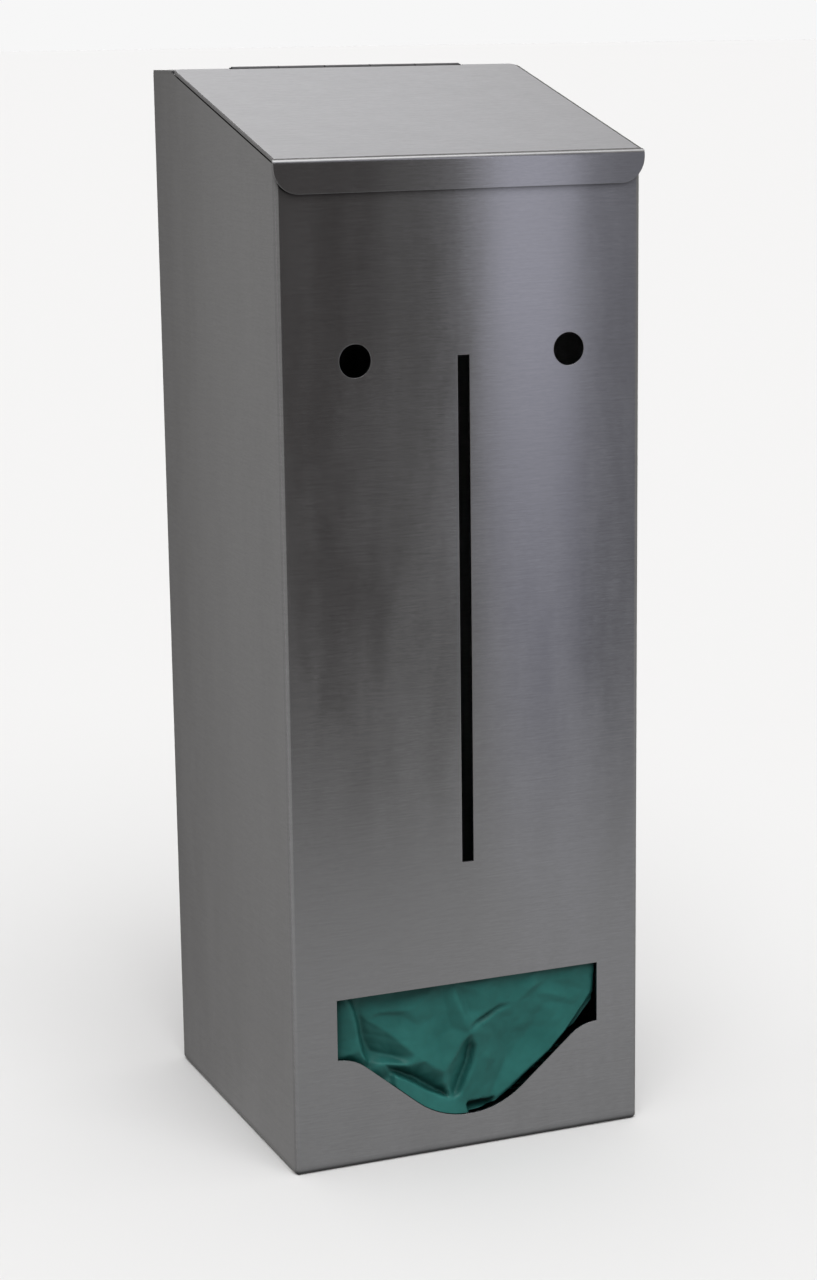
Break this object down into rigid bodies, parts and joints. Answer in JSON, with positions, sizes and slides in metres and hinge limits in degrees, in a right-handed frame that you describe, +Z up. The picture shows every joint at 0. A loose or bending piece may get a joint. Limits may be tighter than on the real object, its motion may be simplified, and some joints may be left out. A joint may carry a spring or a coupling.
{
  "type": "waste bag dispenser",
  "caption": "Tall narrow wall-mounted sheet-steel dispenser for film waste bags, with a hinged sloping lid, a sight slot and a low scooped dispensing opening.",
  "frame": {"origin": "middle of the bounding box's footprint, on the surface the dispenser stands on", "axes": "+X to the right seen from the front, +Y towards the wall, -Y out of the dispensing opening, +Z up"},
  "size_m": [0.154, 0.1506, 0.4351],
  "materials": {
    "brushed_steel": "fine straight brushed grain, satin",
    "bag_film": "thin crumpled polythene film, soft sheen"
  },
  "bodies": {
    "body": {"body_shell": "brushed_steel", "back_panel": "brushed_steel", "bottom_plate": "brushed_steel", "hinge_leaf_body": "brushed_steel", "hinge_pin": "brushed_steel", "spare_bag_1": "bag_film", "spare_bag_2": "bag_film", "spare_bag_3": "bag_film", "spare_bag_4": "bag_film", "spare_bag_5": "bag_film", "spare_bag_6": "bag_film"},
    "lid": {"lid": "brushed_steel", "hinge_leaf_lid": "brushed_steel"},
    "bag": {"front_bag": "bag_film"}
  },
  "joints": [
    {"name": "lid_hinge", "type": "hinge", "parent": "body", "child": "lid", "pos_m": [0, 0.0469, 0.43355], "axis": [-1, 0, 0], "range_deg": [0, 115]},
    {"name": "bag_pull", "type": "slide", "parent": "body", "child": "bag", "axis": [0, -1, 0], "range_m": [0, 0.07]}
  ]
}
